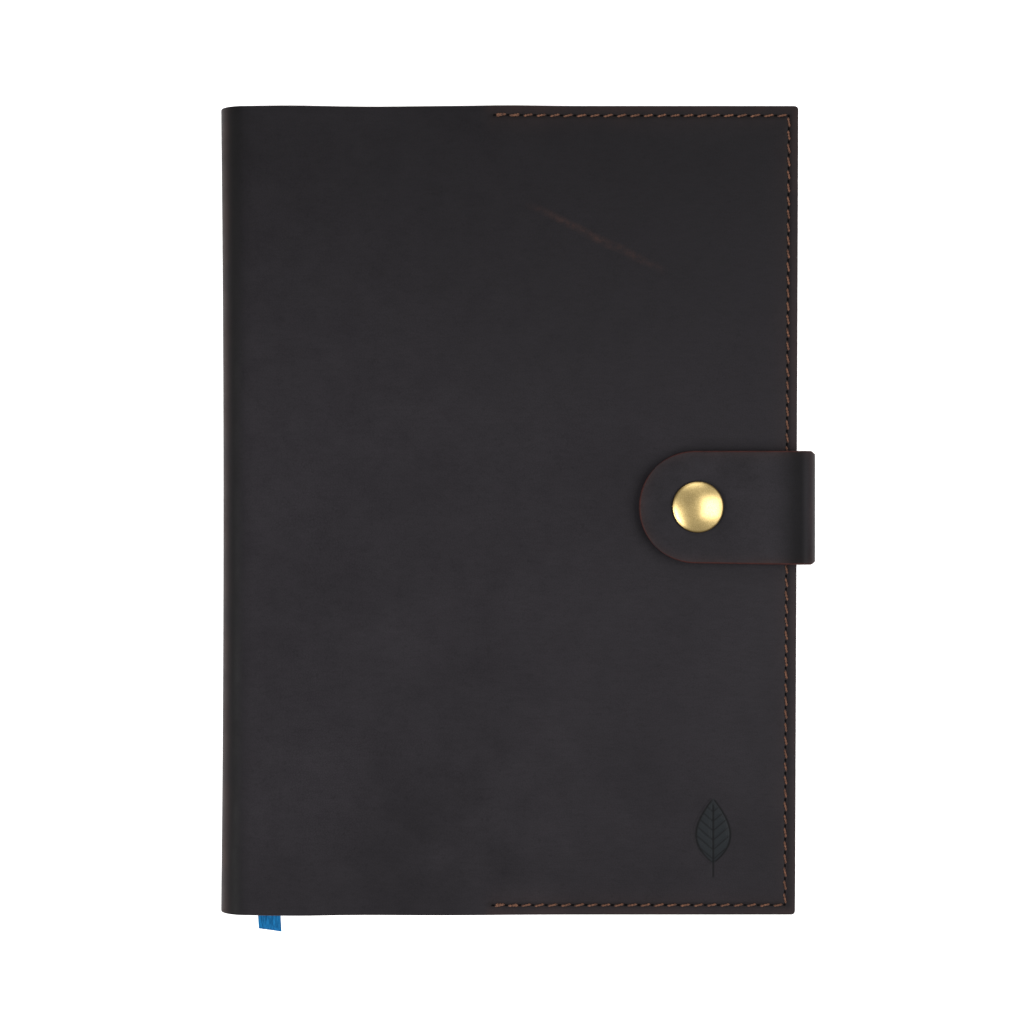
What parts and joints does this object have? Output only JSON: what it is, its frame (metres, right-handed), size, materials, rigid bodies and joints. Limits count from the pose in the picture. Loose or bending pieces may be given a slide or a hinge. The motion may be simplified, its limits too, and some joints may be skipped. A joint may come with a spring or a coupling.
{
  "type": "notebook cover",
  "caption": "Refillable leather notebook cover closed by a round-ended strap with a domed snap, holding a page block with a marker ribbon.",
  "frame": {"origin": "middle of the closed cover's footprint, on the resting face of the back", "axes": "+X from the spine to the fore edge, +Y from tail to head, +Z from the back to the front"},
  "size_m": [0.1629, 0.2271, 0.0238],
  "materials": {
    "outer_leather": "matt dark brown-black waxed leather with a fine grain",
    "pocket_leather": "dark brown suede-like flesh side",
    "thread": "waxed brown thread",
    "brass": "satin brass",
    "spring_wire": "bright spring wire",
    "card": "dark blue card",
    "paper": "cream paper, cut edges",
    "lining_cloth": "open cotton cloth",
    "ribbon": "blue woven satin ribbon"
  },
  "bodies": {
    "back": {"cover_back": "outer_leather", "pocket_back": "pocket_leather", "stitching_back": "thread", "strap_loop": "outer_leather", "notebook_back_card": "card", "pages_front_half": "paper", "pages_back_half": "paper", "spine_lining": "lining_cloth", "head_band": "ribbon", "tail_band": "ribbon", "marker_ribbon": "ribbon"},
    "spine": {"cover_spine": "outer_leather", "notebook_spine_card": "card"},
    "front": {"cover_front": "outer_leather", "pocket_front": "pocket_leather", "stitching_front": "thread", "snap_stud": "brass", "snap_eyelet": "brass", "notebook_front_card": "card"},
    "strap": {"strap_tongue": "outer_leather", "snap_cap": "brass", "snap_socket": "brass", "snap_spring": "spring_wire"}
  },
  "joints": [
    {"name": "spine_fold", "type": "hinge", "parent": "back", "child": "spine", "pos_m": [-0.07718, 0, 0.00205], "axis": [0, -1, 0], "range_deg": [0, 89]},
    {"name": "cover_fold", "type": "hinge", "parent": "spine", "child": "front", "pos_m": [-0.07718, 0, 0.01555], "axis": [0, -1, 0], "range_deg": [0, 89]},
    {"name": "strap_lift", "type": "hinge", "parent": "front", "child": "strap", "pos_m": [0.07923, 0, 0.0214], "axis": [0, 1, 0], "range_deg": [0, 150]}
  ],
  "couplings": [
    {"joint": "cover_fold", "follows": "spine_fold", "ratio": 1}
  ]
}
